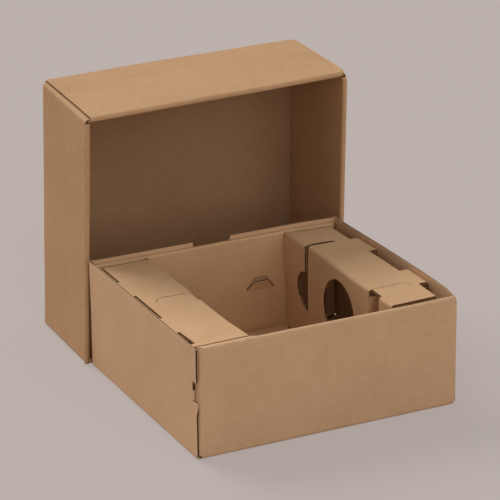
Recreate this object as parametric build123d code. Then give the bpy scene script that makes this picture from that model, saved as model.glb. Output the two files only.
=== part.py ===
from build123d import *
import os
from math import atan2, cos, hypot, pi, sin, tan

# Shipping box for three bottles lying side by side, folded from three blanks of corrugated board:
# a flat tray, a cradle folded into the tray, and a deep lid that stands on one of its own walls
# behind the tray, open side forwards.
# The origin is the centre of the tray's underside. X runs along the bottles, Y goes back to the
# lid, Z is up.

# Board
board = 3.0             # thickness of the corrugated sheet
fold_inside = 1.2       # inside radius of a right-angle fold
ply_gap = 0.4           # air between the two plies of a rolled-over wall
slip = 0.3              # air between panels that lie against each other
cut_width = 1.2         # width of a knife cut after the panels have sprung apart
score_width = 1.6       # width of a pressed score line
score_depth = 0.5       # depth of a pressed score line

# Tray
tray_length = 333.0     # outside, along X
tray_depth = 302.0      # outside, along Y
tray_height = 135.0     # outside, along Z
lug_reach = 56.0        # how far the joining lug lies along the inside of the left end wall
thumb_width = 50.0      # thumb notch in the top of the back wall
thumb_depth = 8.0
thumb_radius = 5.0
thumb_offset = -5.5     # notch centre from the tray's middle
lock_low = 69.0         # lock recess in the free front edge of the left end wall
lock_high = 95.0
lock_depth = 9.0
lock_relief = 1.4       # radius of the relief holes in its inner corners

# Cradle
chamber_width = 75.0    # from the outside of the tray's end wall to the bay side of the inner panel
panel_drop = 4.7        # top panels and rolled edges lie this far below the tray's wall tops
window_setback = 14.0   # outer edge of a window from the outside of the end wall
window_depth = 18.0     # how far the middle window cuts down into the outer leg
leg_margin = 11.0       # how much further the ends of the outer legs lie from the corners
leg_shift = -2.5        # middle of the outer legs from the tray's middle
bridge_length = 46.0    # each of the two bridges that carry a top panel out to the end wall
left_front_gap = 0.8    # from the front liner to the left top panel
left_rear_gap = 9.5     # from the left top panel to the back liner
right_front_gap = 9.5
right_rear_gap = 11.0
foot_margin = 1.2       # from the rear ends of the inner panels to the back liner
front_tab_length = 8.0  # tab at the front end of the left top panel that reaches the end wall

# Bottle seats: the front and rear bottles point right, the middle one points left
end_seat = 61.0         # axis of the front or rear bottle from the outside of the wall beside it
seat_shift = 1.0        # middle bottle from the tray's middle
bottle_axis = 74.5      # height of the bottles' axes over the ground
body_radius = 40.0      # round opening for the thick end of a bottle
neck_radius = 25.6      # half-round opening for a neck, its straight side on the knife cut
neck_height = 70.5      # centre of the half-round over the ground
front_cut = 16.0        # knife cut of each neck seat from its bottle's axis, along Y
middle_cut = 15.5
rear_cut = -8.0
flap_angle = 85.0       # how far an opened neck flap is turned into its chamber
flap_drop = 6.0         # top of an opened flap below the top panel
knife_reach = 36.0      # blind end of the knife cuts from the outside of the end wall
moon_radius = 11.0      # round end of a knife cut
sprung_cut = 3.6        # width of the rear knife cut, which has sprung open
open_edge = 4.6         # setback of the top panel's edge over an opened neck seat
crease_margin = 6.0     # bare board between a crease and the ends of its tongue
nick_radius = 1.6       # nick in the inner fold where a crease meets it

# Retaining tab pushed out of the back liner
tab_offset = 56.0       # tab centre from the tray's middle
tab_foot = 62.0         # height of its hinge line
tab_height = 14.0
tab_top_width = 14.5
tab_foot_width = 38.0
tab_angle = 20.0
tab_clear = 0.9         # gap round the tab's free sides

# Lid
lid_clear = 0.5         # between the lid's inner plies and the tray when the box is closed
lid_headroom = 4.5      # how much deeper the lid is inside than the tray is high
lid_gap = 4.0           # from the tray's back wall to the rim of the standing lid
lid_shift = 6.5         # lid centre from the tray's middle

# Working values
fold_mid = fold_inside + board / 2
fold_outside = fold_inside + board
roll_mid = (board + ply_gap) / 2
half_length = tray_length / 2
half_depth = tray_depth / 2
wall_inside = half_length - board
lug_x = wall_inside - slip - board / 2
lug_inside = lug_x - board / 2
lug_top = tray_height - panel_drop - board - slip


def band(path, bends, place, sweep, thickness=board):
    # A folded strip of board: path is its middle line, bends the middle radius at each corner,
    # place puts a point of the section into space and sweep is the way that the strip runs.
    # Each stretch of a side is kept as its two ends, or as the three points of an arc.
    left, right = [], []
    last = path[0]
    for before, here, after, bend in zip(path, path[1:], path[2:], bends):
        a_in = atan2(here[1] - before[1], here[0] - before[0])
        a_out = atan2(after[1] - here[1], after[0] - here[0])
        turn = (a_out - a_in + pi) % (2 * pi) - pi
        hand = 1 if turn > 0 else -1
        reach = bend * tan(abs(turn) / 2)
        start = (here[0] - reach * cos(a_in), here[1] - reach * sin(a_in))
        centre = (start[0] - hand * bend * sin(a_in), start[1] + hand * bend * cos(a_in))
        add_run(left, right, last, start, thickness)
        for side, sign in ((left, 1), (right, -1)):
            radius = bend - hand * sign * thickness / 2
            angles = [a_in - hand * pi / 2 + turn * k / 2 for k in range(3)]
            side.append([(centre[0] + radius * cos(a), centre[1] + radius * sin(a)) for a in angles])
        last = (here[0] + reach * cos(a_out), here[1] + reach * sin(a_out))
    add_run(left, right, last, path[-1], thickness)
    back = [stretch[::-1] for stretch in right[::-1]]
    loop = left + [[left[-1][-1], back[0][0]]] + back + [[back[-1][-1], left[0][0]]]
    edges = []
    for stretch in loop:
        points = [place(*point) for point in stretch]
        edges.append(Edge.make_line(*points) if len(points) == 2 else Edge.make_three_point_arc(*points))
    return Solid.extrude(Face(Wire(edges)), sweep)


def add_run(left, right, start, end, thickness):
    # The two long sides of a straight stretch of board, unless two bends meet there.
    if hypot(end[0] - start[0], end[1] - start[1]) < 1e-6:
        return
    angle = atan2(end[1] - start[1], end[0] - start[0])
    for side, sign in ((left, 1), (right, -1)):
        du = -sin(angle) * sign * thickness / 2
        dv = cos(angle) * sign * thickness / 2
        side.append([(start[0] + du, start[1] + dv), (end[0] + du, end[1] + dv)])


def along_x(path, bends, x_low, x_high):
    # A strip whose section lies in the YZ plane.
    return band(path, bends, lambda y, z: Vector(x_low, y, z), Vector(x_high - x_low, 0, 0))


def along_y(path, bends, y_low, y_high):
    # A strip whose section lies in the XZ plane.
    return band(path, bends, lambda x, z: Vector(x, y_low, z), Vector(0, y_high - y_low, 0))


def along_z(path, bends, z_low, z_high):
    # A strip whose section lies in the XY plane.
    return band(path, bends, lambda x, y: Vector(x, y, z_low), Vector(0, 0, z_high - z_low))


def block(x, y, z):
    # A box from its two limits along each axis, in either order.
    size = [abs(limits[1] - limits[0]) for limits in (x, y, z)]
    centre = [(limits[0] + limits[1]) / 2 for limits in (x, y, z)]
    return Pos(*centre) * Box(*size)


def rod_x(x, y, z, radius):
    # A round bar along X between two limits.
    bar = Rot(0, 90, 0) * Cylinder(radius, abs(x[1] - x[0]))
    return Pos((x[0] + x[1]) / 2, y, z) * bar


# Tray: bottom, rolled front wall, single back and end walls. The walls are folded at three corners
# and joined at the front left one, where a lug of the front wall lies inside the end wall.
tray_front_ply = -half_depth + board / 2
tray_front_inner_ply = tray_front_ply + board + ply_gap
tray_back_ply = half_depth - board / 2
tray_front_inside = tray_front_inner_ply + board / 2
tray_back_inside = half_depth - board
rim_drop = roll_mid + board / 2


def tray_long_walls():
    # Front wall with its rolled rim, bottom and back wall in one strip between the end walls.
    path = [
        (tray_front_inner_ply, fold_outside + slip),
        (tray_front_inner_ply, tray_height - board / 2),
        (tray_front_ply, tray_height - board / 2),
        (tray_front_ply, board / 2),
        (tray_back_ply, board / 2),
        (tray_back_ply, tray_height),
    ]
    reach = half_length - fold_outside
    strip = along_x(path, [roll_mid, roll_mid, fold_mid, fold_mid], -reach, reach)
    # At the joined corner the front wall stops where the lug's fold begins.
    strip -= block(
        (-half_length, fold_mid - lug_x),
        (-half_depth - board, fold_inside - half_depth + board),
        (0, tray_height + board),
    )
    # There the inner ply stops short of the lug.
    strip -= block(
        (-half_length, slip - lug_inside),
        (tray_front_ply + board / 2 + ply_gap / 2, tray_front_inside + slip),
        (board + slip / 2, tray_height + board),
    )
    thumb = fillet(
        block(
            (-thumb_width / 2, thumb_width / 2),
            (tray_back_inside - board, half_depth + board),
            (tray_height - thumb_depth, tray_height + thumb_depth),
        ).edges().filter_by(Axis.Y).group_by(Axis.Z)[0],
        thumb_radius,
    )
    return strip - Pos(thumb_offset, 0, 0) * thumb


def tray_end_walls():
    # End walls and bottom in one strip, relieved where the front and back folds pass.
    mid = half_length - board / 2
    path = [(-mid, tray_height), (-mid, board / 2), (mid, board / 2), (mid, tray_height)]
    strip = along_y(path, [fold_mid, fold_mid], -half_depth, half_depth)
    for side in (-1, 1):
        for end in (-1, 1):
            joined = (side, end) == (-1, -1)
            strip -= block(
                (0, side * half_length),
                (end * (half_depth - fold_outside), end * (half_depth + board)),
                (0, fold_outside if joined else tray_height + board),
            )
    return strip - lock_recess()


def lock_recess():
    # Recess in the left wall's free front edge, with a relief hole in each inner corner.
    x = (slip / 2 - wall_inside, -half_length - board)
    inner = -half_depth + lock_depth
    cut = block(x, (-half_depth - board, inner), (lock_low, lock_high))
    for z in (lock_low + lock_relief, lock_high - lock_relief):
        cut += rod_x(x, inner, z, lock_relief)
    return cut


def folded_corner(side, end):
    # Vertical fold from the front or back wall into an end wall.
    wall_x = side * (half_length - board / 2)
    wall_y = tray_front_ply if end < 0 else tray_back_ply
    path = [
        (wall_x, wall_y - end * (fold_mid + board)),
        (wall_x, wall_y),
        (wall_x - side * (fold_mid + board), wall_y),
    ]
    top = tray_height - (rim_drop if end < 0 else 0)
    return along_z(path, [fold_mid], fold_outside + slip, top)


def joined_corner():
    # Vertical fold at the left end of the front wall, and the lug that it carries.
    path = [
        (-lug_x, lug_reach - half_depth),
        (-lug_x, tray_front_ply),
        (fold_mid + board - lug_x, tray_front_ply),
    ]
    lug = along_z(path, [fold_mid], fold_outside + slip, lug_top)
    # The front wall is higher than its lug, up to where the rim rolls over.
    path[0] = (-lug_x, tray_front_ply + fold_mid)
    return lug + along_z(path, [fold_mid], lug_top - board, tray_height - rim_drop)


def base_tray():
    tray = tray_long_walls() + tray_end_walls() + joined_corner()
    for side, end in ((1, -1), (-1, 1), (1, 1)):
        tray += folded_corner(side, end)
    return tray


# Cradle: floor, front and back liners with rolled edges, and a hollow chamber at each end
floor_z = board + slip + board / 2
floor_top = floor_z + board / 2
panel_z = tray_height - panel_drop - board / 2
inner_x = half_length - chamber_width + board / 2
bay_x = inner_x - board / 2
leg_x = wall_inside - slip - board / 2
window_x = half_length - window_setback
liner_reach = lug_inside - fold_inside
front_liner = tray_front_inside + slip + board / 2
back_liner = tray_back_inside - slip - board / 2
bay_front = front_liner + board / 2 + ply_gap + board
bay_back = back_liner - board / 2 - ply_gap - board
leg_reach = half_depth - lug_reach - leg_margin
leg_ends = (leg_shift - leg_reach, leg_shift + leg_reach)
panel_ends = {
    -1: (bay_front + left_front_gap, bay_back - left_rear_gap),
    1: (bay_front + right_front_gap, bay_back - right_rear_gap),
}
bottles = (end_seat - half_depth, seat_shift, half_depth - end_seat)


def chamber(side):
    # Inner panel, top panel and outer leg of one chamber, as one folded strip.
    low, high = panel_ends[side]
    panel = along_y(
        [
            (side * window_x, panel_z),
            (side * inner_x, panel_z),
            (side * inner_x, floor_z),
            (side * (inner_x - 2 * fold_outside), floor_z),
        ],
        [fold_mid, fold_mid],
        low,
        high,
    )
    leg = along_y(
        [
            (side * leg_x, fold_outside + slip),
            (side * leg_x, panel_z),
            (side * (inner_x + fold_outside), panel_z),
        ],
        [fold_mid],
        *leg_ends,
    )
    window = block(
        (side * window_x, side * half_length),
        (leg_ends[0] + bridge_length, leg_ends[1] - bridge_length),
        (panel_z - window_depth, tray_height),
    )
    # Behind the top panel the inner panel and its fold reach on to the back liner.
    rear = along_y(
        [
            (side * (inner_x + fold_mid), panel_z),
            (side * inner_x, panel_z),
            (side * inner_x, floor_top + slip),
        ],
        [fold_mid],
        high - board,
        bay_back - foot_margin,
    )
    return panel + rear + (leg - window)


def liner(end):
    # Front or back liner: outer ply, rolled edge and inner ply, folded up from the floor.
    outer = front_liner if end < 0 else back_liner
    inner = outer - end * (board + ply_gap)
    wall = along_x(
        [
            (outer, fold_outside + slip),
            (outer, panel_z),
            (inner, panel_z),
            (inner, floor_top + slip),
        ],
        [roll_mid, roll_mid],
        -liner_reach,
        liner_reach,
    )
    # Between the chambers the outer ply runs into the fold of the floor.
    wall -= block(
        (-bay_x, bay_x),
        (outer - board / 2 - ply_gap / 2, outer + board / 2 + ply_gap / 2),
        (0, floor_z + fold_mid),
    )
    foot = along_x(
        [
            (outer, floor_z + 3 * fold_outside),
            (outer, floor_z),
            (outer - end * 3 * fold_outside, floor_z),
        ],
        [fold_mid],
        -bay_x,
        bay_x,
    )
    return wall + foot


def cradle_floor():
    reach = inner_x - fold_outside
    return block(
        (-reach, reach),
        (front_liner + fold_outside, back_liner - fold_outside),
        (board + slip, floor_top),
    )


def body_opening(side, y):
    return rod_x((side * (bay_x - board), side * (inner_x + board)), y, bottle_axis, body_radius)


def half_round(side, y, way):
    # Half-round neck opening: straight side at y, round side towards way along Y.
    x = (side * (bay_x - board), side * (inner_x + board))
    keep = block(x, (y, y + way * 2 * neck_radius), (0, tray_height))
    return rod_x(x, y, neck_height, neck_radius) & keep


def knife_cut(side, y, way, width):
    # Cut across the top panel and down the inner panel, from its blind end to the neck opening.
    blind = half_length - knife_reach
    across = block(
        (side * blind, side * (bay_x - board)),
        (y, y + way * width),
        (panel_z - board, tray_height),
    )
    down = block(
        (side * (inner_x + board), side * (bay_x - board)),
        (y, y + way * cut_width),
        (neck_height, tray_height),
    )
    return across + down


def moon_cut(side, y, way):
    # Quarter-round end of a knife cut, turned towards the tongue.
    centre = Pos(side * (half_length - knife_reach), y + way * moon_radius, panel_z)
    ring = Cylinder(moon_radius + cut_width / 2, 2 * board)
    ring -= Cylinder(moon_radius - cut_width / 2, 3 * board)
    quarter = Pos(side * moon_radius, -way * moon_radius, 0) * Box(
        2 * moon_radius, 2 * moon_radius, 3 * board
    )
    return centre * (ring & quarter)


def crease(side, y, way):
    # Pressed line where a tongue bends, on the far side of its neck opening, and the nick at its end.
    at = y + way * (neck_radius + score_width)
    blind = half_length - knife_reach - crease_margin
    line = block(
        (side * blind, side * (inner_x + crease_margin)),
        (at - score_width / 2, at + score_width / 2),
        (panel_z + board / 2 - score_depth, tray_height),
    )
    nick = Pos(side * bay_x, at, panel_z) * Cylinder(nick_radius, 2 * board)
    return line + nick


def open_slot(side, y, way):
    # Inner panel removed above an opened neck seat, with the top panel's edge set back.
    return block(
        (side * (bay_x - board), side * (bay_x + open_edge)),
        (y, y + way * neck_radius),
        (neck_height, tray_height),
    )


def neck_flap(side, y, way):
    # The flap that closed an opened neck seat, folded into the chamber about its cut side.
    length = neck_radius - cut_width
    turn = flap_angle * pi / 180
    path = [
        (side * inner_x, y - way * 2 * fold_outside),
        (side * inner_x, y),
        (side * (inner_x + length * sin(turn)), y + way * length * cos(turn)),
    ]
    return along_z(path, [fold_mid], neck_height, panel_z - board / 2 - flap_drop)


def retaining_tab():
    # Trapezoid tab pushed out of the back liner towards the bay, and the hole it leaves.
    def trapezoid(grow, depth):
        outline = Polyline(
            (-tab_foot_width / 2 - grow, 0),
            (tab_foot_width / 2 + grow, 0),
            (tab_top_width / 2 + grow, tab_height + grow),
            (-tab_top_width / 2 - grow, tab_height + grow),
            close=True,
        )
        return extrude(Plane.XZ * make_face(outline), amount=depth)

    hole = Pos(tab_offset, bay_back + board, tab_foot) * trapezoid(tab_clear, 2 * board)
    tab = Rot(tab_angle, 0, 0) * trapezoid(0, board)
    return hole, Pos(tab_offset, bay_back + board, tab_foot - board / 2) * tab


def inner_cradle():
    cradle = cradle_floor() + liner(-1) + liner(1) + chamber(-1) + chamber(1)
    # The left top panel keeps a tab at its front end that reaches the end wall.
    low = panel_ends[-1][0]
    cradle += block(
        (slip - wall_inside, board - window_x),
        (low, low + front_tab_length),
        (panel_z - board / 2, panel_z + board / 2),
    )
    # Thick ends of the bottles
    for side, y in ((-1, bottles[0]), (1, bottles[1]), (-1, bottles[2])):
        cradle -= body_opening(side, y)
    # Necks: end of the cradle, knife cut, way towards the neck, opened or still closed
    seats = (
        (1, bottles[0] + front_cut, -1, True),
        (-1, bottles[1] + middle_cut, -1, True),
        (1, bottles[2] + rear_cut, 1, False),
    )
    for side, y, way, opened in seats:
        cradle -= half_round(side, y, way)
        cradle -= knife_cut(side, y, way, cut_width if opened else sprung_cut)
        cradle -= crease(side, y, way)
        if opened:
            cradle -= moon_cut(side, y, way)
            cradle -= open_slot(side, y, way)
            cradle += neck_flap(side, y, way)
    hole, tab = retaining_tab()
    return cradle - hole + tab


# Lid: closed panel at the back, four rolled walls, standing on one long wall
lid_wall = 2 * board + ply_gap
lid_length = tray_length + 2 * (lid_clear + lid_wall)
lid_height = tray_depth + 2 * (lid_clear + lid_wall)
lid_depth = tray_height + lid_headroom + board
lid_front = half_depth + lid_gap
lid_back = lid_front + lid_depth
lid_half = lid_length / 2
lid_floor = lid_back - board / 2


def lid_long_walls():
    # Upper and lower wall with rolled rims and the closed panel between them.
    low, high = board / 2, lid_height - board / 2
    rim = lid_front + board / 2
    step = board + ply_gap
    path = [
        (lid_back - fold_outside - slip, low + step),
        (rim, low + step),
        (rim, low),
        (lid_floor, low),
        (lid_floor, high),
        (rim, high),
        (rim, high - step),
        (lid_back - fold_outside - slip, high - step),
    ]
    bends = [roll_mid, roll_mid, fold_mid, fold_mid, roll_mid, roll_mid]
    return along_x(path, bends, -lid_half, lid_half)


def lid_end_walls():
    # Left and right wall with rolled rims, folded from the closed panel.
    rim = lid_front + board / 2
    side = lid_half - board / 2
    step = board + ply_gap
    path = [
        (-side + step, lid_back - fold_outside - slip),
        (-side + step, rim),
        (-side, rim),
        (-side, lid_floor),
        (side, lid_floor),
        (side, rim),
        (side - step, rim),
        (side - step, lid_back - fold_outside - slip),
    ]
    bends = [roll_mid, roll_mid, fold_mid, fold_mid, roll_mid, roll_mid]
    reach = board + slip + fold_outside
    return along_z(path, bends, reach, lid_height - reach)


def lid_lug(side, end):
    # Rounded fold at the upper or lower edge of an end wall, and the lug it carries.
    wall_x = side * (lid_half - board / 2)
    lug_z = board + slip + board / 2
    z = lug_z if end < 0 else lid_height - lug_z
    inward = -end * (fold_mid + board)
    path = [
        (wall_x, z + inward),
        (wall_x, z),
        (wall_x - side * (fold_mid + board), z),
    ]
    return along_y(path, [fold_mid], lid_front + lid_wall / 2, lid_back - board - slip)


def lid():
    shell = lid_long_walls()
    for side in (-1, 1):
        # The closed panel's own folds take the back corners of the upper and lower walls.
        shell -= block(
            (side * (lid_half - fold_outside), side * lid_half),
            (lid_back - fold_outside, lid_back),
            (0, lid_height),
        )
        # The inner plies of the long walls stop at the inner plies of the end walls.
        shell -= block(
            (side * (lid_half - lid_wall - slip), side * lid_half),
            (lid_front + board / 2, lid_back - board - slip / 2),
            (board + ply_gap / 2, lid_height - board - ply_gap / 2),
        )
    shell += lid_end_walls()
    for side in (-1, 1):
        for end in (-1, 1):
            shell += lid_lug(side, end)
    return Pos(lid_shift, 0, 0) * shell


os.makedirs("parts", exist_ok=True)
nodes = {"base_tray": base_tray(), "inner_cradle": inner_cradle(), "lid": lid()}
for name, shape in nodes.items():
    export_step(shape, f"parts/{name}.step")
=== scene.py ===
import math

import bmesh
import bpy
from mathutils import Matrix, Vector, noise
from mathutils.bvhtree import BVHTree


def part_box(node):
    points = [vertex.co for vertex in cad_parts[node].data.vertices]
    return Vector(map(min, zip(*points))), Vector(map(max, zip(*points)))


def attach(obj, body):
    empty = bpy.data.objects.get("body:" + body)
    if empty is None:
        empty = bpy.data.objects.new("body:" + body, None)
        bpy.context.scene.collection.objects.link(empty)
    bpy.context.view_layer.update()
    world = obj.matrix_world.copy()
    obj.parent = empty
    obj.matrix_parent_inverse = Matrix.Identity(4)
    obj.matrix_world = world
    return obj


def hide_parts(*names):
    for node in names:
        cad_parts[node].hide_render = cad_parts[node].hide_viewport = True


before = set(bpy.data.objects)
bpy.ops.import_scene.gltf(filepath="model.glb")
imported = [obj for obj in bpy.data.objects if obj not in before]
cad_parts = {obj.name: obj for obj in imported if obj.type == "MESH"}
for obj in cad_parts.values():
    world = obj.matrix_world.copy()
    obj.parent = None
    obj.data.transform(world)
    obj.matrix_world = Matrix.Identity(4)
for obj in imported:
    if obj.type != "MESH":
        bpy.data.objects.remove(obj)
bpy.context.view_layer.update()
print("frame loaded:", ", ".join(sorted(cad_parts)))


def tint(code):
    # a colour as it is written on screen, for a shader's socket
    parts = [int(code[i:i + 2], 16) / 255 for i in (1, 3, 5)]
    return tuple(p / 12.92 if p <= 0.04045 else ((p + 0.055) / 1.055) ** 2.4 for p in parts) + (1.0,)


def ease(value, low, high):
    # 0 below low, 1 above high, smooth between
    share = min(1.0, max(0.0, (value - low) / (high - low)))
    return share * share * (3 - 2 * share)


# Camera, at the photograph's angle
cameraSet = {
    "place": (-1.3812, -2.8243, 1.4001),
    "azimuth": 25.65,
    "elevation": 21.35,
    "roll": -0.785,
    "lens": 208.7, "sensor": 36.0,
    "farthest": 60.0,
}


def placeCamera(chosen):
    az, el, roll = (math.radians(chosen[key]) for key in ("azimuth", "elevation", "roll"))
    ahead = Vector((math.sin(az) * math.cos(el), math.cos(az) * math.cos(el), -math.sin(el)))
    right = Vector((math.cos(az), -math.sin(az), 0.0))
    up = right.cross(ahead)
    tiltedRight = right * math.cos(roll) + up * math.sin(roll)
    tiltedUp = up * math.cos(roll) - right * math.sin(roll)
    turn = Matrix((tiltedRight, tiltedUp, -ahead)).transposed().to_4x4()
    made = bpy.data.objects.new("viewCamera", bpy.data.cameras.new("viewCamera"))
    made.data.lens = chosen["lens"]
    made.data.sensor_width = chosen["sensor"]
    made.data.clip_end = chosen["farthest"]
    made.matrix_world = Matrix.Translation(Vector(chosen["place"])) @ turn
    bpy.context.scene.collection.objects.link(made)
    bpy.context.scene.camera = made


placeCamera(cameraSet)
print("camera placed")


# Node helpers
def addNode(tree, kind, **settings):
    node = tree.nodes.new(kind)
    for key, value in settings.items():
        setattr(node, key, value)
    return node


def feed(tree, socket, value):
    # join a socket to another one, or give it a plain value
    if isinstance(value, bpy.types.NodeSocket):
        tree.links.new(value, socket)
    else:
        socket.default_value = value


def sums(tree, operation, first, second=0.0, third=0.0, clamp=False):
    node = addNode(tree, "ShaderNodeMath", operation=operation, use_clamp=clamp)
    for socket, value in zip(node.inputs, (first, second, third)):
        feed(tree, socket, value)
    return node.outputs[0]


def ramp(tree, value, low, high, start=0.0, end=1.0):
    node = addNode(tree, "ShaderNodeMapRange", interpolation_type="SMOOTHSTEP")
    names = ("Value", "From Min", "From Max", "To Min", "To Max")
    for name, given in zip(names, (value, low, high, start, end)):
        feed(tree, node.inputs[name], given)
    return node.outputs["Result"]


def blendColours(tree, share, first, second, blend="MIX"):
    # in its colour form the node takes its share at 0, its colours at 6 and 7, and gives 2
    node = addNode(tree, "ShaderNodeMix", data_type="RGBA", blend_type=blend, clamp_factor=True)
    feed(tree, node.inputs[0], share)
    feed(tree, node.inputs[6], first)
    feed(tree, node.inputs[7], second)
    return node.outputs[2]


def grain(tree, vector, scale, detail=2.0, rough=0.5):
    node = addNode(tree, "ShaderNodeTexNoise")
    for name, given in zip(("Vector", "Scale", "Detail", "Roughness"), (vector, scale, detail, rough)):
        feed(tree, node.inputs[name], given)
    return node.outputs[0]


def startGroup(name, inputs, outputs):
    tree = bpy.data.node_groups.new(name, "ShaderNodeTree")
    for side, sockets in (("INPUT", inputs), ("OUTPUT", outputs)):
        for label, kind in sockets:
            tree.interface.new_socket(label, in_out=side, socket_type="NodeSocket" + kind)
    return tree, tree.nodes.new("NodeGroupInput").outputs, tree.nodes.new("NodeGroupOutput").inputs


def useGroup(tree, group, **values):
    # the spaces of a socket's name are left out in the call
    node = addNode(tree, "ShaderNodeGroup", node_tree=group)
    for socket in node.inputs:
        feed(tree, socket, values[socket.name.replace(" ", "")])
    return node.outputs


def stretched(tree, vector, scales):
    node = addNode(tree, "ShaderNodeMapping", vector_type="POINT")
    feed(tree, node.inputs["Vector"], vector)
    node.inputs["Scale"].default_value = scales
    return node.outputs[0]


def addSwing(tree, value, strength, base, clamp=False):
    # the base and, times the strength, how far a grain is from its middle
    return sums(tree, "MULTIPLY_ADD", sums(tree, "SUBTRACT", value, 0.5), strength, base, clamp=clamp)


def bumpNormal(tree, height, strength, distance, under=None):
    node = addNode(tree, "ShaderNodeBump")
    node.inputs["Strength"].default_value = strength
    node.inputs["Distance"].default_value = distance
    feed(tree, node.inputs["Height"], height)
    if under is not None:
        feed(tree, node.inputs["Normal"], under)
    return node.outputs[0]


# Kraft paper: cloudy brown sheet with fibres along the machine direction and a few dark specks
paperSet = {
    "cloudDetail": 3.0, "cloudRough": 0.55,
    "mottleScale": 150.0, "mottle": 0.5,
    "fibreScales": (260.0, 1500.0, 1500.0), "fibreDetail": 3.0, "fibreRough": 0.65,
    "crossScales": (900.0, 420.0, 900.0), "cross": 0.25,
    "detail": 2.0, "rough": 0.6,                       # of the mottle and the cross fibres
    "speckScale": 330.0, "speckRim": (0.10, 0.16),     # distances from a speck's middle
    "patchScale": 210.0, "patchRim": (0.5, 0.62),      # specks are seen in patches only
    "toothFibre": 0.6, "toothMottle": 0.4,
}


def kraftPaperGroup(chosen):
    tree, given, out = startGroup(
        "kraftPaper",
        [("Place", "Vector"), ("Light", "Color"), ("Dark", "Color"), ("Cloud Scale", "Float"),
         ("Cloudiness", "Float"), ("Fibres", "Float"), ("Specks", "Float")],
        [("Colour", "Color"), ("Tooth", "Float")])
    place, soft = given["Place"], (chosen["detail"], chosen["rough"])
    cloud = grain(tree, place, given["Cloud Scale"], chosen["cloudDetail"], chosen["cloudRough"])
    mottle = grain(tree, place, chosen["mottleScale"], *soft)
    fibre = grain(tree, stretched(tree, place, chosen["fibreScales"]), 1.0,
                  chosen["fibreDetail"], chosen["fibreRough"])
    cross = grain(tree, stretched(tree, place, chosen["crossScales"]), 1.0, *soft)
    share = addSwing(tree, cloud, given["Cloudiness"], 0.5)
    share = addSwing(tree, mottle, chosen["mottle"], share)
    share = addSwing(tree, fibre, given["Fibres"], share)
    share = addSwing(tree, cross, chosen["cross"], share, clamp=True)
    spots = addNode(tree, "ShaderNodeTexVoronoi", feature="F1")
    feed(tree, spots.inputs["Vector"], place)
    spots.inputs["Scale"].default_value = chosen["speckScale"]
    speck = sums(tree, "MULTIPLY", ramp(tree, spots.outputs["Distance"], *chosen["speckRim"], 1.0, 0.0),
                 ramp(tree, grain(tree, place, chosen["patchScale"], 1.0), *chosen["patchRim"]))
    colour = blendColours(tree, share, given["Light"], given["Dark"])
    speckled = sums(tree, "MULTIPLY", speck, given["Specks"])
    colour = blendColours(tree, speckled, colour, given["Dark"], "MULTIPLY")
    feed(tree, out["Colour"], colour)
    feed(tree, out["Tooth"], sums(tree, "MULTIPLY_ADD", fibre, chosen["toothFibre"],
                                  sums(tree, "MULTIPLY", mottle, chosen["toothMottle"])))
    return tree


# Washboard: the liner dips a little between the flutes it is glued to; its second output is a mask for
# painted shade in the dips
washboardSet = {"patchScale": 18.0, "patchRim": (0.3, 0.7)}


def washboardGroup(chosen):
    tree, given, out = startGroup(
        "washboard",
        [("Across", "Vector"), ("Place", "Vector"), ("Evenness", "Float")],
        [("Height", "Float"), ("Hollow", "Float")])
    parts = addNode(tree, "ShaderNodeSeparateXYZ")
    feed(tree, parts.inputs[0], given["Across"])
    wave = sums(tree, "COSINE", sums(tree, "MULTIPLY", parts.outputs["X"], 2 * math.pi))
    wave = sums(tree, "MULTIPLY_ADD", wave, 0.5, 0.5)
    patch = ramp(tree, grain(tree, given["Place"], chosen["patchScale"], 1.0), *chosen["patchRim"],
                 given["Evenness"], 1.0)
    feed(tree, out["Height"], sums(tree, "MULTIPLY", wave, patch))
    feed(tree, out["Hollow"], sums(tree, "MULTIPLY", sums(tree, "SUBTRACT", 1.0, wave), patch))
    return tree


# Edge wear and painted highlight: how near a point is to the folded edges of its box, broken up by scuffs;
# there the colour is made lighter, partly as scuffed wear, partly as painted highlight along the edges
edgeWearAndHighlightSet = {"scuffDetail": 4.0, "scuffRough": 0.6, "scuffReach": 0.008, "fullWear": 0.55}


def edgeWearAndHighlightGroup(chosen):
    tree, given, out = startGroup(
        "edgeWearAndHighlight",
        [("Place", "Vector"), ("Low", "Vector"), ("High", "Vector"), ("Reach", "Float"),
         ("Scuff Scale", "Float")],
        [("WornAndHighlit", "Float")])
    low, high, here = (addNode(tree, "ShaderNodeSeparateXYZ") for _ in range(3))
    feed(tree, low.inputs[0], given["Low"])
    feed(tree, high.inputs[0], given["High"])
    feed(tree, here.inputs[0], given["Place"])
    gaps = []
    for axis in "XYZ":
        below = sums(tree, "SUBTRACT", here.outputs[axis], low.outputs[axis])
        above = sums(tree, "SUBTRACT", high.outputs[axis], here.outputs[axis])
        gaps.append(sums(tree, "MINIMUM", below, above))
    # the middle one of the three distances is the distance to the nearest edge
    nearer = sums(tree, "MINIMUM", gaps[0], gaps[1])
    farther = sums(tree, "MAXIMUM", gaps[0], gaps[1])
    middle = sums(tree, "MAXIMUM", nearer, sums(tree, "MINIMUM", farther, gaps[2]))
    scuffs = grain(tree, given["Place"], given["Scuff Scale"], chosen["scuffDetail"], chosen["scuffRough"])
    broken = sums(tree, "MULTIPLY_ADD", scuffs, chosen["scuffReach"], middle)
    # the scuffs add half their reach on average, so the limit is that much farther out
    reach = sums(tree, "ADD", given["Reach"], chosen["scuffReach"] / 2)
    full = sums(tree, "MULTIPLY", reach, chosen["fullWear"])
    feed(tree, out["WornAndHighlit"], ramp(tree, broken, full, reach, 1.0, 0.0))
    return tree


# Cut edge: two liners with the fluted medium waving between them over hollows painted dark as their shade
cutSet = {
    "waveHeight": 0.35,       # how far the medium waves from the middle, as a share of the board
    "raggedScale": 900.0, "ragged": 0.10, "mediumHalf": 0.06, "mediumRim": 0.10,
    "linerRim": (0.12, 0.17),
    "acrossLit": 0.55,        # a cut across the flutes lets light into the hollows
    "alongMedium": 0.8,       # a cut along one opens its hollow and shows little of the medium
}


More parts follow.
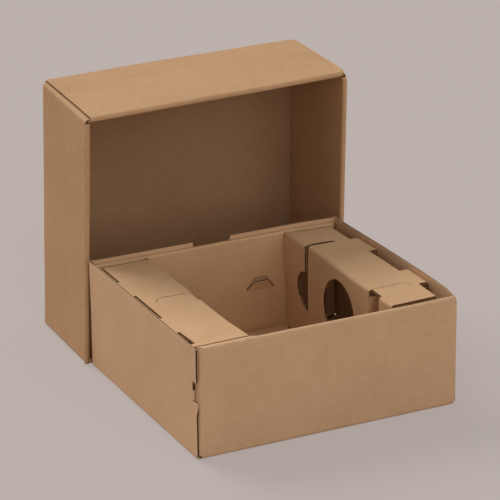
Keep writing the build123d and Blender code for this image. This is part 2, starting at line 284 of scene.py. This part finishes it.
def cutFlutesGroup(chosen):
    tree, given, out = startGroup(
        "cutFlutes",
        [("Flute", "Vector"), ("Place", "Vector"), ("Along", "Float"), ("Paper", "Color"),
         ("Medium", "Color"), ("Hollow", "Color")],
        [("Colour", "Color"), ("Height", "Float")])
    parts = addNode(tree, "ShaderNodeSeparateXYZ")
    feed(tree, parts.inputs[0], given["Flute"])
    wave = sums(tree, "SINE", sums(tree, "MULTIPLY", parts.outputs["X"], 2 * math.pi))
    line = sums(tree, "MULTIPLY_ADD", wave, chosen["waveHeight"], 0.5)
    off = sums(tree, "ABSOLUTE", sums(tree, "SUBTRACT", parts.outputs["Y"], line))
    ragged = sums(tree, "MULTIPLY_ADD", grain(tree, given["Place"], chosen["raggedScale"], 2.0),
                  chosen["ragged"], chosen["mediumHalf"])
    medium = ramp(tree, off, ragged, sums(tree, "ADD", ragged, chosen["mediumRim"]), 1.0, 0.0)
    side = sums(tree, "MINIMUM", parts.outputs["Y"], sums(tree, "SUBTRACT", 1.0, parts.outputs["Y"]))
    liner = ramp(tree, side, *chosen["linerRim"], 1.0, 0.0)
    seen = sums(tree, "MULTIPLY_ADD", given["Along"], -chosen["alongMedium"], 1.0)
    medium = sums(tree, "MULTIPLY", medium, seen)
    # painted shade: the flute hollows get a dark colour, made lighter where a cut across the flutes lets
    # light in
    lightIn = sums(tree, "MULTIPLY_ADD", given["Along"], -chosen["acrossLit"], chosen["acrossLit"])
    lit = blendColours(tree, lightIn, given["Hollow"], given["Medium"])
    colour = blendColours(tree, medium, lit, given["Medium"])
    feed(tree, out["Colour"], blendColours(tree, liner, colour, given["Paper"]))
    feed(tree, out["Height"], sums(tree, "MAXIMUM", medium, liner))
    return tree


paper, washboard = kraftPaperGroup(paperSet), washboardGroup(washboardSet)
edgeWearAndHighlight, cutFlutes = edgeWearAndHighlightGroup(edgeWearAndHighlightSet), cutFlutesGroup(cutSet)
print("node groups made")


# Finish of the paper, the same for the three pieces
finishSet = {
    "evenness": 0.55,         # of the washboard, in its weakest patches
    "scuffScale": 110.0,
    "toothRim": (0.3, 0.7), "roughness": (0.74, 0.88), "shine": 0.32,
    "toothStrength": 0.6, "toothDepth": 0.00006,
    "cutRoughness": 0.9, "cutShine": 0.2, "cutStrength": 0.7, "cutDepth": 0.0004,
    "cutDark": (0.72, 0.7, 0.68, 1), "cutCloudScale": 40.0, "cutCloudiness": 0.6,
    "cutFibres": 0.8, "cutSpecks": 0.1,
}


def startMaterial(name):
    made = bpy.data.materials.new(name)
    made.use_nodes = True
    tree = made.node_tree
    flat = addNode(tree, "ShaderNodeAttribute", attribute_name="flatPlace").outputs["Vector"]
    flute = addNode(tree, "ShaderNodeUVMap", uv_map="flute").outputs[0]
    return made, tree, tree.nodes["Principled BSDF"].inputs, flat, flute


def linerMaterial(name, chosen, finish):
    made, tree, shader, flat, flute = startMaterial(name)
    sheet = useGroup(tree, paper, Place=flat, Light=tint(chosen["light"]), Dark=tint(chosen["dark"]),
                     CloudScale=chosen["cloudScale"], Cloudiness=chosen["cloudiness"],
                     Fibres=chosen["fibres"], Specks=chosen["specks"])
    ribs = useGroup(tree, washboard, Across=flute, Place=flat, Evenness=finish["evenness"])
    wear = useGroup(tree, edgeWearAndHighlight, Place=flat, Low=chosen["low"], High=chosen["high"],
                    Reach=chosen["wearReach"], ScuffScale=finish["scuffScale"])
    # painted shade: the colour is darkened towards the washboard's dips, by the piece's ribShade
    ribHollowShade = sums(tree, "MULTIPLY", ribs["Hollow"], chosen["ribShade"])
    colour = blendColours(tree, ribHollowShade, sheet["Colour"], tint(chosen["dark"]))
    # lighter near the box's edges: scuffed wear, and painted highlight along the rims and corners
    wornAndHighlit = sums(tree, "MULTIPLY", wear["WornAndHighlit"], chosen["wear"])
    colour = blendColours(tree, wornAndHighlit, colour, tint(chosen["scuff"]))
    # painted shade: the inner side of the sheet is multiplied by the piece's inner tone, which darkens the
    # lid's shaded inside
    side = addNode(tree, "ShaderNodeSeparateXYZ")
    feed(tree, side.inputs[0], flute)
    inner = blendColours(tree, 1.0, colour, chosen["inner"], "MULTIPLY")
    feed(tree, shader["Base Color"], blendColours(tree, side.outputs["Y"], colour, inner))
    feed(tree, shader["Roughness"], ramp(tree, sheet["Tooth"], *finish["toothRim"], *finish["roughness"]))
    shader["Specular IOR Level"].default_value = finish["shine"]
    ribNormal = bumpNormal(tree, ribs["Height"], 1.0, chosen["ribDepth"])
    feed(tree, shader["Normal"], bumpNormal(tree, sheet["Tooth"], finish["toothStrength"],
                                            finish["toothDepth"], ribNormal))
    return made


def cutMaterial(name, chosen, finish):
    made, tree, shader, flat, flute = startMaterial(name)
    along = addNode(tree, "ShaderNodeAttribute", attribute_name="alongFlute").outputs["Fac"]
    edge = useGroup(tree, cutFlutes, Flute=flute, Place=flat, Along=along, Paper=tint(chosen["cutPaper"]),
                    Medium=tint(chosen["cutMedium"]), Hollow=tint(chosen["cutHollow"]))
    sheet = useGroup(tree, paper, Place=flat, Light=(1, 1, 1, 1), Dark=finish["cutDark"],
                     CloudScale=finish["cutCloudScale"], Cloudiness=finish["cutCloudiness"],
                     Fibres=finish["cutFibres"], Specks=finish["cutSpecks"])
    colour = blendColours(tree, 1.0, edge["Colour"], sheet["Colour"], "MULTIPLY")
    feed(tree, shader["Base Color"], colour)
    shader["Roughness"].default_value = finish["cutRoughness"]
    shader["Specular IOR Level"].default_value = finish["cutShine"]
    feed(tree, shader["Normal"], bumpNormal(tree, edge["Height"], finish["cutStrength"],
                                            finish["cutDepth"]))
    return made


# Board pieces: each folded blank is a copy of its solid, cut up finely enough to sag and rack
boardSet = {
    "cell": 0.014,            # spacing of the cuts that let a panel bend
    "merge": 0.000005,        # corners nearer together than this become one
    "flat": 0.3,              # triangles that meet at less than this, in degrees, become one face
    "onPlane": 0.000004,      # a corner this near to a cut is taken to lie on it
    "thickest": 0.0036,       # a face with this much board behind it is a cut edge
    "deepest": 0.05,          # how far the board behind a face is looked for
    "narrowest": 0.0011,      # a narrower strip is the side of a score line
    "smallest": 0.0001,       # if its area, in square metres, is smaller than this too
    "pitch": 0.0065,          # from flute to flute
    "skin": 0.0001,           # the look behind a face starts this far under it
    "level": 1.0,             # faces that meet at less than this, in degrees, are one plane
    "folded": 40.0,           # and at less than this they are one side of the sheet, folds and all
    "crossing": 0.9,          # a cut that faces more than this across the flutes runs along one of them
    "sharp": 35.0,            # an edge that turns more than this, in degrees, is not shaded smooth
}
traySet = {
    "node": "base_tray", "slot": "tray_board", "endFlute": "y",
    "light": "#DCB28A", "dark": "#C49A72", "scuff": "#E0BC98",
    "cloudScale": 13.0, "cloudiness": 0.7, "fibres": 0.55, "specks": 0.35,
    "wear": 0.35, "wearReach": 0.003, "ribShade": 0.10, "ribDepth": 0.00005,
    "cutPaper": "#DDB58C", "cutMedium": "#B08A64", "cutHollow": "#4A3423",
    "inner": (1.0, 1.0, 1.0, 1.0),
    # more cuts near the low and high ends of its box, along x, y and z, where corners are worn round
    "nearLow": ((), (), ()),
    "nearHigh": ((0.0011, 0.0026, 0.0045, 0.007), (), (0.0011, 0.0026, 0.0045, 0.007)),
}
cradleSet = {
    "node": "inner_cradle", "slot": "cradle_board", "endFlute": "y",
    "light": "#DAB086", "dark": "#C0966C", "scuff": "#DFB993",
    "cloudScale": 15.0, "cloudiness": 0.7, "fibres": 0.6, "specks": 0.4,
    "wear": 0.2, "wearReach": 0.003, "ribShade": 0.12, "ribDepth": 0.00006,
    "cutPaper": "#D6AD84", "cutMedium": "#A37E59", "cutHollow": "#5E432D",
    "inner": (1.0, 1.0, 1.0, 1.0),
    "nearLow": ((), (), ()),
    "nearHigh": ((), (), ()),
}
lidSet = {
    "node": "lid", "slot": "lid_board", "endFlute": "z",
    "light": "#CBA077", "dark": "#AE8459", "scuff": "#D3AB83",
    "cloudScale": 11.0, "cloudiness": 0.7, "fibres": 0.55, "specks": 0.35,
    "wear": 0.35, "wearReach": 0.003, "ribShade": 0.10, "ribDepth": 0.00005,
    "cutPaper": "#C9A077", "cutMedium": "#9C7753", "cutHollow": "#452F1F",
    # painted shade: the lid's inside, the inner side of its sheet, is made darker
    "inner": (0.74, 0.73, 0.74, 1.0),
    "nearLow": ((0.0012, 0.0035), (0.0012, 0.0035, 0.007, 0.0105), ()),
    "nearHigh": ((0.0012, 0.0045, 0.0075, 0.0105), (0.0012, 0.0035, 0.007, 0.0105), (0.008,)),
}


def smoothRegions(faces, limit):
    # groups of faces that meet at less than the limit
    left = set(faces)
    groups = []
    while left:
        first = min(left, key=lambda face: face.index)
        left.remove(first)
        group, front = [first], [first]
        while front:
            face = front.pop()
            for edge in face.edges:
                for other in edge.link_faces:
                    if other in left and face.normal.angle(other.normal, math.pi) < limit:
                        left.remove(other)
                        group.append(other)
                        front.append(other)
        groups.append(group)
    return groups


def boardBehind(tree, face, chosen):
    # how thick the board is behind a face, and which face is on its far side
    start = face.calc_center_median() - face.normal * chosen["skin"]
    hit = tree.ray_cast(start, -face.normal, chosen["deepest"])
    return (hit[3], hit[2]) if hit[0] is not None else (chosen["deepest"], None)


def markCutEdges(work, chosen):
    # material 0 is the liner, material 1 a cut edge
    tree = BVHTree.FromBMesh(work)
    for group in smoothRegions(work.faces, math.radians(chosen["level"])):
        thin, area, inside = 0.0, 0.0, set(group)
        for face in group:
            behind = boardBehind(tree, face, chosen)[0]
            area += face.calc_area()
            thin += face.calc_area() * (1 if behind < chosen["thickest"] else -1)
        rim = sum(edge.calc_length() for edge in {e for f in group for e in f.edges}
                  if sum(1 for f in edge.link_faces if f in inside) == 1)
        narrow = rim > 0 and 2 * area / rim < chosen["narrowest"] and area < chosen["smallest"]
        for face in group:
            face.material_index = 0 if thin > 0 or narrow else 1


def sheetSides(work, chosen):
    # the two long sides of the folded sheet, each as one list of faces
    work.faces.index_update()
    liner = [face for face in work.faces if face.material_index == 0]
    groups = smoothRegions(liner, math.radians(chosen["folded"]))
    groups.sort(key=lambda group: -sum(face.calc_area() for face in group))
    side = {face.index: 0 for face in groups[0]}
    tree = BVHTree.FromBMesh(work)
    for group in groups[1:]:
        votes = 0.0
        for face in group:
            other = boardBehind(tree, face, chosen)[1]
            if other in side:
                votes += face.calc_area() * (1 if side[other] == 0 else -1)
        for face in group:
            side[face.index] = 1 if votes >= 0 else 0
    return [[face for face in liner if side[face.index] == which] for which in (0, 1)]


def facesTree(faces):
    corners, triangles = [], []
    for face in faces:
        first = len(corners)
        corners.extend(vert.co.copy() for vert in face.verts)
        triangles.append(list(range(first, first + len(face.verts))))
    return BVHTree.FromPolygons(corners, triangles)


def cutIntoCells(work, chosen, piece, box):
    for axis in range(3):
        low, high = box[0][axis], box[1][axis]
        normal = Vector([1.0 if i == axis else 0.0 for i in range(3)])
        count = round((high - low) / chosen["cell"])
        stops = [low + (high - low) * step / count for step in range(1, count)]
        stops += [low + gap for gap in piece["nearLow"][axis]]
        stops += [high - gap for gap in piece["nearHigh"][axis]]
        for stop in stops:
            bmesh.ops.bisect_plane(work, geom=work.verts[:] + work.edges[:] + work.faces[:],
                                   dist=chosen["onPlane"], plane_co=normal * stop, plane_no=normal)


def splitSides(work, keptSides):
    # the liner's faces after the cuts, by the side of the sheet that they were part of
    sides = ([], [])
    for face in work.faces:
        if face.material_index == 0:
            gaps = [tree.find_nearest(face.calc_center_median())[3] for tree in keptSides]
            if gaps[0] != gaps[1]:
                sides[0 if gaps[0] < gaps[1] else 1].append(face)
    return sides


def layFlutes(work, sides, chosen, piece):
    # the map's first number counts flutes, its second runs through the board's thickness
    layer = work.loops.layers.uv.new("flute")
    alongFlute = work.faces.layers.float["alongFlute"]
    trees = [facesTree(side) for side in sides]
    for face in work.faces:
        near = [tree.find_nearest(face.calc_center_median()) for tree in trees]
        inner = near[1][3] < near[0][3]
        normal = near[1 if inner else 0][1] if face.material_index == 1 else face.normal
        main = max(range(3), key=lambda axis: abs(normal[axis]))
        across = {0: piece["endFlute"], 1: "z", 2: "y"}[main]
        face[alongFlute] = 1.0 if abs(getattr(face.normal, across)) > chosen["crossing"] else 0.0
        for loop in face.loops:
            depth = float(inner)
            if face.material_index == 1:
                gaps = [tree.find_nearest(loop.vert.co)[3] for tree in trees]
                depth = gaps[0] / max(1e-9, gaps[0] + gaps[1])
            loop[layer].uv = (getattr(loop.vert.co, across) / chosen["pitch"], depth)


def foldedBoard(chosen, piece, bend):
    # the solid's mesh, merged and cut into cells, with its flutes laid, then bent
    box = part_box(piece["node"])
    work = bmesh.new()
    work.from_mesh(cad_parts[piece["node"]].data)
    work.faces.layers.float.new("alongFlute")
    bmesh.ops.remove_doubles(work, verts=work.verts, dist=chosen["merge"])
    work.normal_update()
    markCutEdges(work, chosen)
    bmesh.ops.dissolve_limit(work, angle_limit=math.radians(chosen["flat"]), verts=work.verts,
                             edges=work.edges, delimit={"MATERIAL"})
    work.normal_update()
    sides = sheetSides(work, chosen)
    areas = [round(sum(face.calc_area() for face in side) * 1e4) for side in sides]
    keptSides = [facesTree(side) for side in sides]
    cutIntoCells(work, chosen, piece, box)
    work.normal_update()
    work.faces.index_update()
    layFlutes(work, splitSides(work, keptSides), chosen, piece)
    flat = work.verts.layers.float_vector.new("flatPlace")
    for vert in work.verts:
        vert[flat] = vert.co
        vert.co = bend(vert.co)
    piece["low"], piece["high"] = tuple(box[0]), tuple(box[1])
    return work, areas


def boardPiece(name, chosen, piece, bend):
    work, areas = foldedBoard(chosen, piece, bend)
    openEdges = sum(1 for edge in work.edges if not edge.is_manifold)
    mesh = bpy.data.meshes.new(name)
    work.to_mesh(mesh)
    work.free()
    made = bpy.data.objects.new(name, mesh)
    bpy.context.scene.collection.objects.link(made)
    mesh.materials.append(linerMaterial(name + "Liner", piece, finishSet))
    mesh.materials.append(cutMaterial(name + "CutEdge", piece, finishSet))
    mesh.shade_smooth()
    mesh.set_sharp_from_angle(angle=math.radians(chosen["sharp"]))
    even = made.modifiers.new("evenShading", "WEIGHTED_NORMAL")
    even.keep_sharp = True
    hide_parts(piece["node"])
    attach(made, "root")
    print(name, "made:", len(mesh.polygons), "faces, sheet sides", areas, "cm2, open edges", openEdges)


def roundOff(first, second, radius, share):
    # two distances from the sides of a square corner, drawn in so that the corner becomes a round one
    a, b = max(0.0, radius - first), max(0.0, radius - second)
    if a < 1e-6 or b < 1e-6:
        return first, second
    pull = 1 + (max(a, b) / math.hypot(a, b) - 1) * share
    return radius - a * pull, radius - b * pull


# Sag: tray and cradle share one field, so that they stay clear of each other
sagSet = {
    "seed": 2,                # without one the noise would differ from run to run
    "rises": (0.004, 0.05),   # heights between which the sag sets in
    "wide": 0.14, "wideDepth": 0.0008, "wideSeed": Vector((3.1, 7.7, 1.9)),
    "fine": 0.06, "fineDepth": 0.00025, "fineSeed": Vector((9.4, 2.2, 5.6)),
    "bow": 0.0015,            # right end wall: in and down at its rear, out and up at its front
    "bowLift": 0.8, "bowAcross": (0.10, 0.165), "bowUp": (0.0, 0.135),
    "bowFront": -0.06, "bowLength": 0.21,
}
# Tray corners: a groove in the front left one, fold tops that stand up, a right one worn round
cornerSet = {
    "groove": (-0.1634, -0.140), "grooveFront": -0.143, "grooveFades": (-0.158, -0.142),
    "grooveOpen": 0.0012, "opens": (0.02, 0.12),       # it stands open towards its top
    "grooveShut": 0.0013, "shuts": (0.0, 0.055),       # and closes towards the floor
    "foldTop": 0.1318, "foldEnd": 0.158, "foldFront": -0.1445, "foldRise": 0.0026,
    "rightEnd": 0.1665, "rim": 0.135, "round": 0.007, "roundFades": (-0.146, -0.128),
    "foldNear": 0.0003,       # how far from its height a corner still counts as a fold's top
}
# Tongues: the parts of the cradle's top panels that the knife cuts have freed
tongueSet = {
    "rearCut": 0.0826,        # behind this the right top panel has slid towards the bay
    "rearStart": 0.08, "rearMove": (-0.0033, 0.0, 0.0002),
    "rearGap": 0.0016, "gapFades": 0.115,
    "looseUp": (0.045, 0.11), "looseAcross": (0.125, 0.150),
    "leftEnd": -0.085, "leftLow": 0.1,                 # the front end of the left top panel stands up
    "leftLift": 0.0026, "liftAlong": (-0.138, -0.075), "liftUp": (0.11, 0.127),
    "windowLow": 0.1265, "windowEdge": 0.1525, "windowMove": -0.003, "windowNear": 0.0003,
    "scoreBottom": 0.1298, "scoreLift": 0.00035,       # score lines have filled up to a faint mark
    "scoreNear": 0.00008,
}


noise.seed_set(sagSet["seed"])


def packSag(point):
    shift = noise.noise_vector(point / sagSet["wide"] + sagSet["wideSeed"]) * sagSet["wideDepth"]
    shift += noise.noise_vector(point / sagSet["fine"] + sagSet["fineSeed"]) * sagSet["fineDepth"]
    shift *= ease(point.z, *sagSet["rises"])
    right = ease(point.x, *sagSet["bowAcross"]) * ease(point.z, *sagSet["bowUp"])
    swing = math.cos(math.pi * (point.y - sagSet["bowFront"]) / sagSet["bowLength"]) * sagSet["bow"]
    return point + shift + Vector((swing, 0.0, swing * sagSet["bowLift"])) * right


def traySag(point):
    chosen = cornerSet
    shift = Vector((0.0, 0.0, 0.0))
    if chosen["groove"][0] < point.x < chosen["groove"][1] and point.y < chosen["grooveFront"]:
        opened = chosen["grooveOpen"] * ease(point.z, *chosen["opens"])
        opened -= chosen["grooveShut"] * (1 - ease(point.z, *chosen["shuts"]))
        shift.x = opened * (1 - ease(point.x, *chosen["grooveFades"]))
    onFold = abs(point.x) > chosen["foldEnd"] and point.y < chosen["foldFront"]
    if onFold and abs(point.z - chosen["foldTop"]) < chosen["foldNear"]:
        shift.z = chosen["foldRise"]
    point = point + shift
    near = 1 - ease(point.y, *chosen["roundFades"])
    inX, inZ = roundOff(chosen["rightEnd"] - point.x, chosen["rim"] - point.z, chosen["round"], near)
    point.x, point.z = chosen["rightEnd"] - inX, chosen["rim"] - inZ
    return packSag(point)


def cradleSag(point):
    chosen = tongueSet
    shift = Vector((0.0, 0.0, 0.0))
    if point.y > chosen["rearCut"] and point.x > chosen["rearStart"]:
        loose = ease(point.z, *chosen["looseUp"]) * (1 - ease(point.x, *chosen["looseAcross"]))
        shift += Vector(chosen["rearMove"]) * loose
        shift.y += chosen["rearGap"] * loose * (1 - ease(point.y, chosen["rearCut"], chosen["gapFades"]))
    if point.x < chosen["leftEnd"] and point.z > chosen["leftLow"]:
        front = 1 - ease(point.y, *chosen["liftAlong"])
        shift.z += chosen["leftLift"] * front * ease(point.z, *chosen["liftUp"])
    if point.z > chosen["windowLow"] and abs(abs(point.x) - chosen["windowEdge"]) < chosen["windowNear"]:
        shift.x += chosen["windowMove"]
    if abs(point.z - chosen["scoreBottom"]) < chosen["scoreNear"]:
        shift.z += chosen["scoreLift"]
    return packSag(point) + shift


# Racking: how far the corners of the standing lid's box have moved, by low or high x, y and z
rackSet = {
    (0, 0, 1): (0.0059, 0.0, -0.0046),
    (1, 0, 1): (0.0056, 0.0, 0.001),
    (0, 1, 1): (0.0085, 0.0, 0.0035),
    (1, 1, 1): (0.004, 0.0, 0.0055),
    (0, 0, 0): (-0.006, 0.0, 0.0),
    (0, 1, 0): (-0.002, 0.0, 0.0),
    (1, 0, 0): (-0.003, 0.0, 0.0),
}
# The lid's long walls end a little inside it, so that the end walls show beside them
endSet = {
    "upperLeftFront": 0.0068, "upperLeftBack": 0.0042, "upperRight": 0.003, "lower": 0.0045,
    "reach": 0.014,           # how far from the ends the walls are drawn in
    "ply": 0.0031, "roll": 0.0068, "rollDepth": 0.0031,
    "rimDrop": 0.0072, "wallDrop": 0.0031,             # the end walls reach down to the floor
    "outerSheet": (0.0030, 0.0042), "dropFades": (0.0076, 0.022),
}
# The lid's upper wall has corners worn round, and its panels sag
wearSet = {
    "rightRound": 0.0105, "leftRound": 0.005, "roundLow": 0.016, "roundHigh": 0.003,
    "sagSize": 0.15, "sagDepth": 0.0009, "sagSeed": Vector((1.3, 4.4, 8.2)), "rises": (0.004, 0.06),
}
lidLow, lidHigh = (Vector(corner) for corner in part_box("lid"))


def drawIn(point, inset, edge, turn):
    # the end of a panel, drawn in from the box's side without folding over
    inside = (point.x - edge) * turn
    if inside < endSet["reach"]:
        point.x += inset * turn * (1 - inside / endSet["reach"])


def shortenLongWalls(point):
    # true for a corner of the upper or lower wall
    front = point.y - lidLow.y
    back = front / (lidHigh.y - lidLow.y)
    left = endSet["upperLeftFront"] * (1 - back) + endSet["upperLeftBack"] * back
    for gap, insets in ((lidHigh.z - point.z, (left, endSet["upperRight"])),
                        (point.z - lidLow.z, (endSet["lower"], endSet["lower"]))):
        if gap < endSet["ply"] or (gap < endSet["roll"] and front < endSet["rollDepth"]):
            drawIn(point, insets[0], lidLow.x, 1)
            drawIn(point, insets[1], lidHigh.x, -1)
            return True
    return False


def lowerFeet(point):
    # the outer sheets of the end walls stand on the floor
    drop = endSet["rimDrop"] if point.y - lidLow.y < endSet["rollDepth"] else endSet["wallDrop"]
    outer = 1 - ease(min(point.x - lidLow.x, lidHigh.x - point.x), *endSet["outerSheet"])
    point.z -= drop * outer * (1 - ease(point.z, *endSet["dropFades"]))


def wearCorners(point):
    # the front left corner stays square
    top = ease(point.z, lidHigh.z - wearSet["roundLow"], lidHigh.z - wearSet["roundHigh"])
    rightEdge = lidHigh.x - endSet["upperRight"] * top
    for radius, xEdge, xTurn, yEdge, yTurn in (
            (wearSet["rightRound"], rightEdge, -1, lidHigh.y, -1),
            (wearSet["rightRound"], rightEdge, -1, lidLow.y, 1),
            (wearSet["leftRound"], lidLow.x, 1, lidHigh.y, -1)):
        inX, inY = roundOff((point.x - xEdge) * xTurn, (point.y - yEdge) * yTurn, radius, top)
        point.x, point.y = xEdge + inX * xTurn, yEdge + inY * yTurn


def lidRack(point):
    point = point.copy()
    if not shortenLongWalls(point):
        lowerFeet(point)
    share = [(point[i] - lidLow[i]) / (lidHigh[i] - lidLow[i]) for i in range(3)]
    shift = Vector((0.0, 0.0, 0.0))
    for corner, move in rackSet.items():
        weight = 1.0
        for i in range(3):
            weight *= share[i] if corner[i] else 1 - share[i]
        shift += Vector(move) * weight
    wearCorners(point)
    sag = noise.noise_vector(point / wearSet["sagSize"] + wearSet["sagSeed"]) * wearSet["sagDepth"]
    shift += sag * ease(point.z, *wearSet["rises"])
    return point + shift


boardPiece("tray", boardSet, traySet, traySag)
boardPiece("cradle", boardSet, cradleSet, cradleSag)
boardPiece("lidBox", boardSet, lidSet, lidRack)


# Floor and light
floorSet = {"size": 14.0, "colour": "#BCB1AC", "glow": 0.7, "roughness": 0.95, "shine": 0.1}
lightSet = {
    "keyFrom": (-0.22, 0.78, 0.68), "key": 2.2, "keySpread": 34.0,
    "fillFrom": (0.05, -0.9, 0.38), "fill": 0.58, "fillSpread": 50.0,
    "sky": 0.45,
}


def makeFloor(chosen):
    work = bmesh.new()
    bmesh.ops.create_grid(work, x_segments=1, y_segments=1, size=chosen["size"])
    mesh = bpy.data.meshes.new("floor")
    work.to_mesh(mesh)
    work.free()
    made = bpy.data.objects.new("floor", mesh)
    bpy.context.scene.collection.objects.link(made)
    material = bpy.data.materials.new("floorPaint")
    material.use_nodes = True
    tree = material.node_tree
    shader = tree.nodes["Principled BSDF"]
    shader.inputs["Base Color"].default_value = tint(chosen["colour"])
    shader.inputs["Roughness"].default_value = chosen["roughness"]
    shader.inputs["Specular IOR Level"].default_value = chosen["shine"]
    glow = addNode(tree, "ShaderNodeEmission")
    glow.inputs["Color"].default_value = tint(chosen["colour"])
    rays = addNode(tree, "ShaderNodeLightPath").outputs
    seen = sums(tree, "ADD", sums(tree, "ADD", rays["Is Camera Ray"], rays["Is Glossy Ray"]),
                rays["Is Transmission Ray"], clamp=True)
    mix = addNode(tree, "ShaderNodeMixShader")
    feed(tree, mix.inputs[0], sums(tree, "MULTIPLY", seen, chosen["glow"]))
    tree.links.new(shader.outputs[0], mix.inputs[1])
    tree.links.new(glow.outputs[0], mix.inputs[2])
    tree.links.new(mix.outputs[0], tree.nodes["Material Output"].inputs["Surface"])
    mesh.materials.append(material)


def sunLamp(name, toLight, strength, spread):
    lamp = bpy.data.lights.new(name, "SUN")
    lamp.energy = strength
    lamp.angle = math.radians(spread)
    made = bpy.data.objects.new(name, lamp)
    made.rotation_mode = "QUATERNION"
    made.rotation_quaternion = Vector(toLight).to_track_quat("Z", "Y")
    bpy.context.scene.collection.objects.link(made)


def studioWorld(chosen, backdrop):
    world = bpy.data.worlds.new("studio")
    bpy.context.scene.world = world
    world.use_nodes = True
    tree = world.node_tree
    sky = tree.nodes["Background"]
    sky.inputs["Color"].default_value = (1, 1, 1, 1)
    sky.inputs["Strength"].default_value = chosen["sky"]
    behind = addNode(tree, "ShaderNodeBackground")
    behind.inputs["Color"].default_value = tint(backdrop)
    mix = addNode(tree, "ShaderNodeMixShader")
    tree.links.new(addNode(tree, "ShaderNodeLightPath").outputs["Is Camera Ray"], mix.inputs[0])
    tree.links.new(sky.outputs[0], mix.inputs[1])
    tree.links.new(behind.outputs[0], mix.inputs[2])
    tree.links.new(mix.outputs[0], tree.nodes["World Output"].inputs["Surface"])


makeFloor(floorSet)
sunLamp("softKey", lightSet["keyFrom"], lightSet["key"], lightSet["keySpread"])
sunLamp("softFill", lightSet["fillFrom"], lightSet["fill"], lightSet["fillSpread"])
studioWorld(lightSet, floorSet["colour"])
bpy.context.scene.view_settings.view_transform = "Standard"
print("floor and light set")
